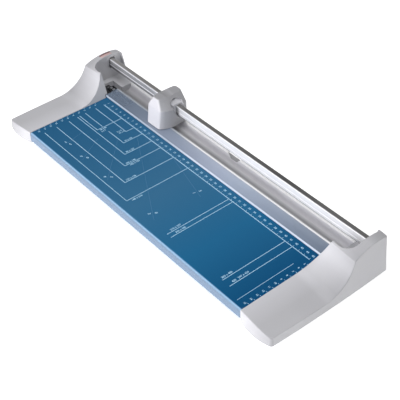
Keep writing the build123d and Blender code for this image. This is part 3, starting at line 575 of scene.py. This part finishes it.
formatFrames = [  # sheet sizes: front line, where it starts and turns up to the ruler
    {"front": -148.0, "start": 9.0, "corner": 209.7},
    {"front": -127.0, "start": 9.0, "corner": 177.6},
    {"front": -105.5, "start": 9.0, "corner": 148.0},
    {"front": -90.0, "start": 8.5, "corner": 127.0},
    {"front": -86.0, "start": 8.0, "corner": 53.8},
    {"front": -75.6, "start": 67.6, "corner": 104.4},
    {"front": -56.8, "start": 8.0, "corner": 84.7},
]
crossLines = {"along": [297.0, 304.8, 406.4, 420.0], "front": -147.8}
angleFan = {  # lines at whole angles from one point on the cut
    "origin": 15.0,
    "rays": [
        {"angle": 15, "reach": (44.0, 68.0), "number": 65.0},
        {"angle": 30, "reach": (50.0, 144.0), "number": 137.0},
        {"angle": 45, "reach": (78.0, 141.6), "number": 137.0},
        {"angle": 60, "reach": (97.0, 143.0), "number": 136.6},
        {"angle": 75, "reach": (102.7, 140.0), "number": 136.2},
    ],
    "spread": 4.6, "digit": 3.9,  # from the line to a digit, and its height
}
sizeLabels = [  # plain numbers beside the lines: text, along, across, digit height
    ("148 x 210", 213.6, -133.6, 3.0),
    ("127 x 178", 174.6, -114.6, 2.9),
    ("105 x 148", 145.0, -93.4, 2.9),
    ("102 x 152", 151.2, -90.5, 2.9),
    ("89 x 127", 124.1, -78.6, 2.8),
    ("54 x 86", 56.8, -77.6, 2.6),
    ("2 x 3", 61.2, -80.4, 2.6),
    ("74 x 105", 101.6, -65.0, 2.6),
    ("55 x 85", 81.7, -61.4, 2.6),
    ("2 x 4", 77.2, -63.6, 2.6),
    ("210 x 297", 293.6, -131.0, 3.0),
    ("305 x 305", 301.6, -129.0, 2.9),
    ("305 x 406", 402.8, -137.4, 3.0),
    ("420   297 x 420", 416.4, -127.0, 3.0),
]


def onTable(along, across):  # print millimetres to the frame's metres
    return (along + printSheet["rulerZero"]) / 1000, (across + printSheet["cutEdge"]) / 1000


def inkLine(bm, start, end, width):
    ax, ay = onTable(*start)
    bx, by = onTable(*end)
    length = math.hypot(bx - ax, by - ay)
    thick = printSheet["sink"] + printSheet["rise"]
    middle = Vector(((ax + bx) / 2, (ay + by) / 2, tableFace - printSheet["sink"] + thick / 2))
    turn = Matrix.Rotation(math.atan2(by - ay, bx - ax), 4, "Z")
    size = Matrix.Diagonal((length, width / 1000, thick, 1))
    bmesh.ops.create_cube(bm, size=1, matrix=Matrix.Translation(middle) @ turn @ size)


def inkText(bm, words, along, across, height, turn=0.0):  # height of a digit, turn in degrees
    curve = bpy.data.curves.new("inkWords", "FONT")
    curve.body = words
    curve.size = height / printSheet["digitShare"] / 1000
    curve.align_x = "CENTER"
    curve.align_y = "CENTER"
    curve.resolution_u = printSheet["curveSteps"]
    curve.offset = printSheet["bold"] / 1000
    curve.extrude = (printSheet["sink"] + printSheet["rise"]) / 2
    holder = bpy.data.objects.new("inkWords", curve)
    bpy.context.scene.collection.objects.link(holder)
    bpy.context.view_layer.update()
    mesh = bpy.data.meshes.new_from_object(holder.evaluated_get(bpy.context.evaluated_depsgraph_get()))
    x, y = onTable(along, across)
    lift = tableFace - printSheet["sink"] + curve.extrude
    mesh.transform(Matrix.Translation((x, y, lift)) @ Matrix.Rotation(math.radians(turn), 4, "Z"))
    bm.from_mesh(mesh)
    bpy.data.objects.remove(holder)
    bpy.data.curves.remove(curve)
    bpy.data.meshes.remove(mesh)


def printLines(plan):
    bm = bmesh.new()
    level = plan["rulerLine"]
    low, high = plan["rulerSpan"]
    inkLine(bm, (low, level), (high, level), plan["rulerWidth"])
    for centimetre in range(1, plan["lastCentimetre"] + 1):
        along = 10 * centimetre
        inkLine(bm, (along, level), (along, level + plan["rulerTick"]), plan["tick"])
    for centimetre in range(1, plan["lastCentimetre"]):
        along = 10 * centimetre + 5
        inkLine(bm, (along, level), (along, level + plan["halfTick"]), plan["tick"])
    for sheet in formatFrames:
        corner = (sheet["corner"], sheet["front"])
        inkLine(bm, (sheet["start"], sheet["front"]), corner, plan["line"])
        inkLine(bm, corner, (sheet["corner"], level), plan["line"])
    inkLine(bm, *plan["cardLine"], plan["line"])
    for along in crossLines["along"]:
        inkLine(bm, (along, crossLines["front"]), (along, level), plan["line"])
    for across in plan["sideTicks"]:
        for near, far in plan["sideTickEnds"]:
            inkLine(bm, (near, across), (far, across), plan["tick"])
    inkLine(bm, *plan["plainRule"], plan["plainWidth"])
    return bm


def printAngles(plan, fan):
    bm = bmesh.new()
    for ray in fan["rays"]:
        slope = math.tan(math.radians(ray["angle"]))
        ends = [(fan["origin"] + depth / slope, -depth) for depth in ray["reach"]]
        inkLine(bm, ends[0], ends[1], plan["thin"])
    return bm


def printNumbers(plan, fan):
    bm = bmesh.new()
    for centimetre in range(1, plan["lastCentimetre"] + 1):
        inkText(bm, str(centimetre), 10 * centimetre, plan["rulerNumbers"], plan["rulerDigit"])
    for across in plan["sideTicks"]:
        for along in plan["sideNumbers"]:
            inkText(bm, str(-across // 10), along, across - plan["sideDrop"], plan["sideDigit"])
    for words, along, across, height in sizeLabels:
        inkText(bm, words, along, across, height, turn=90)
    for ray in fan["rays"]:  # one digit on each side of the line
        angle = math.radians(ray["angle"])
        along = fan["origin"] + ray["number"] / math.tan(angle)
        for digit, spread in zip(str(ray["angle"]), (-fan["spread"], fan["spread"])):
            inkText(bm, digit, along + math.sin(angle) * spread, -ray["number"] + math.cos(angle) * spread,
                    fan["digit"], turn=-ray["angle"])
    return bm


paleInkFinish = texturedFinish("paleInk", paleInk)
thinInkFinish = texturedFinish("thinInk", thinInk)
finishPiece("sizeLines", printLines(printSheet), paleInkFinish, "base")
finishPiece("angleLines", printAngles(printSheet, angleFan), thinInkFinish, "base")
finishPiece("scaleNumbers", printNumbers(printSheet, angleFan), paleInkFinish, "base")
print("print on the table done")


# Bare plate on the left end cap, laid on its curved top

redFoil = {  # two bands of foil side by side
    "group": mouldGrain, "grain": {"Grain": 1300.0, "Cloud": 80.0},
    "dark": screenColour(112, 66, 63), "light": screenColour(122, 76, 72),
    "edgeWearAndHighlight": screenColour(170, 120, 116), "edgeWearAndHighlightShare": 0.5, "edgeRadius": 0.0002,
    "rough": (0.40, 0.52), "bump": 0.04, "depth": 0.0001,
    "layers": [{"colour": screenColour(214, 184, 182), "spot": ("X", (-0.2789, -0.2783))}],
}
capPlate = {  # m
    "along": (-0.2815, -0.2735), "across": (0.0660, 0.0852),
    "steps": (6, 12), "sink": 0.00010, "rise": 0.00035, "bevel": 0.00015,
    "above": 0.2,  # where the look down on to the cap starts
}


def drapedPlate(style, node):
    bm = bmesh.new()
    cols, rows = style["steps"]
    bmesh.ops.create_grid(bm, x_segments=cols, y_segments=rows, size=0.5)
    cap = nodes[node]
    for vert in bm.verts:
        x = style["along"][0] + (vert.co.x + 0.5) * (style["along"][1] - style["along"][0])
        y = style["across"][0] + (vert.co.y + 0.5) * (style["across"][1] - style["across"][0])
        hit, spot, normal, face = cap.ray_cast(Vector((x, y, style["above"])), Vector((0, 0, -1)))
        vert.co = (x, y, spot.z - style["sink"])
    top = raiseFaces(bm, bm.faces[:], (0, 0, style["sink"] + style["rise"]))
    rim = [e for e in bm.edges if e.verts[0] in top and e.verts[1] in top and any(
        sum(v in top for v in f.verts) < len(f.verts) for f in e.link_faces)]
    softenEdges(bm, rim, style["bevel"])
    return bm


redFoilFinish = texturedFinish("redFoil", redFoil)
finishPiece("capPlate", drapedPlate(capPlate, "left_end_cap"), redFoilFinish, "base")
print("plate on the left end cap done")


# Leaf springs under the clamp, which flatten as it is pressed

leafSpring = {  # m
    "travel": 0.00125,  # how far the clamp presses it
    "thick": 0.0005, "bend": 0.0024, "footStep": 0.003, "turns": 6,
    "bevel": 0.00008, "sharp": 1.0,  # edges that turn by more, in radians, are bevelled
}


def leafLine(style, near, far, low, high):  # centre line in X and Z, from the upper leg round to the foot
    bend = math.copysign(style["bend"], far - near)
    points = [(near, high)]
    for middle, start in ((high - style["bend"], 90), (low + style["bend"], 0)):
        for step in range(style["turns"] + 1):
            angle = math.radians(start - 90 * step / style["turns"])
            points.append((far - bend + bend * math.cos(angle), middle + style["bend"] * math.sin(angle)))
    points.append((near + math.copysign(style["footStep"], far - near), low))
    return points


def leafMesh(style, low, high):
    half = style["thick"] / 2
    near, far = (low.x, high.x - half) if low.x > 0 else (high.x, low.x + half)
    line = leafLine(style, near, far, low.z + half, high.z - half)
    bm = bmesh.new()
    rails = []
    for index, (x, z) in enumerate(line):
        before, after = line[max(index - 1, 0)], line[min(index + 1, len(line) - 1)]
        way = Vector((after[0] - before[0], after[1] - before[1])).normalized()
        rails.append([bm.verts.new((x - side * way.y, low.y, z + side * way.x)) for side in (-half, half)])
    faces = [bm.faces.new((a[0], b[0], b[1], a[1])) for a, b in zip(rails, rails[1:])]
    raiseFaces(bm, faces, (0, high.y - low.y, 0))
    bmesh.ops.recalc_face_normals(bm, faces=bm.faces)
    softenEdges(bm, [e for e in bm.edges if e.calc_face_angle(0) > style["sharp"]], style["bevel"])
    return bm


springFinish = bpy.data.materials["springSteel"]
for pieceName, springNode in (
        ("leftLeafSpring", "left_clamp_spring"), ("rightLeafSpring", "right_clamp_spring")):
    springLow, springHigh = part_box(springNode)
    leaf = finishPiece(
        pieceName, leafMesh(leafSpring, springLow, springHigh), springFinish, "base")
    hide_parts(springNode)
    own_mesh(leaf)
print("leaf springs done")


# Floor, light and background

studio = {
    "floorSize": 4.0, "floorDrop": 0.0002,  # m
    "floor": {
        "Base Color": screenColour(250, 250, 250), "Roughness": 0.9, "Specular IOR Level": 0.1,
        "Emission Color": (1, 1, 1, 1), "Emission Strength": 0.55},
    "world": ((0.50, 0.50, 0.52, 1.0), (0.18, 0.18, 0.18, 1.0)),  # towards the front, towards the back
    "worldFade": (-0.6, 0.6), "worldStrength": 0.82,
    "lamps": [  # name, place, aim, size, power, colour
        ("frontKey", (-0.10, -2.2, 0.62), (0.0, 0.0, 0.0), (1.6, 1.0), 39.0, (1.0, 0.99, 1.02)),
        ("topFill", (0.25, -0.3, 2.4), (0.0, 0.0, 0.0), (1.8, 1.4), 22.0, (1.0, 1.0, 1.0)),
        ("backFill", (-0.20, 0.40, 0.22), (-0.26, 0.10, 0.06), (0.2, 0.2), 0.18, (1.0, 1.0, 1.0)),
    ],
}


def addFloor(style):
    bm = bmesh.new()
    drop = Matrix.Translation((0, 0, -style["floorDrop"]))
    bmesh.ops.create_grid(bm, x_segments=1, y_segments=1, size=style["floorSize"], matrix=drop)
    mesh = bpy.data.meshes.new("studioFloor")
    bm.to_mesh(mesh)
    bm.free()
    mesh.materials.append(newFinish("studioFloor", style["floor"])[0])
    floor = bpy.data.objects.new("studioFloor", mesh)
    bpy.context.scene.collection.objects.link(floor)


def addWorld(style):
    world = bpy.data.worlds.new("studioWorld")
    world.use_nodes = True
    tree = world.node_tree
    background = tree.nodes["Background"]
    background.inputs["Strength"].default_value = style["worldStrength"]
    fade = remap(tree, splitAxes(tree, "Generated")["Y"], style["worldFade"])
    tree.links.new(mixColours(tree, fade, *style["world"]), background.inputs["Color"])
    bpy.context.scene.world = world


def addLamps(style):
    for name, place, aim, size, power, colour in style["lamps"]:
        data = bpy.data.lights.new(name, "AREA")
        data.shape = "RECTANGLE"
        data.size, data.size_y = size
        data.energy = power
        data.color = colour
        lamp = bpy.data.objects.new(name, data)
        lamp.location = place
        lamp.rotation_euler = (Vector(aim) - Vector(place)).to_track_quat("-Z", "Y").to_euler()
        bpy.context.scene.collection.objects.link(lamp)


addFloor(studio)
addWorld(studio)
addLamps(studio)
bpy.context.scene.view_settings.view_transform = "Standard"
bpy.context.scene.view_settings.look = "None"
print("studio set")
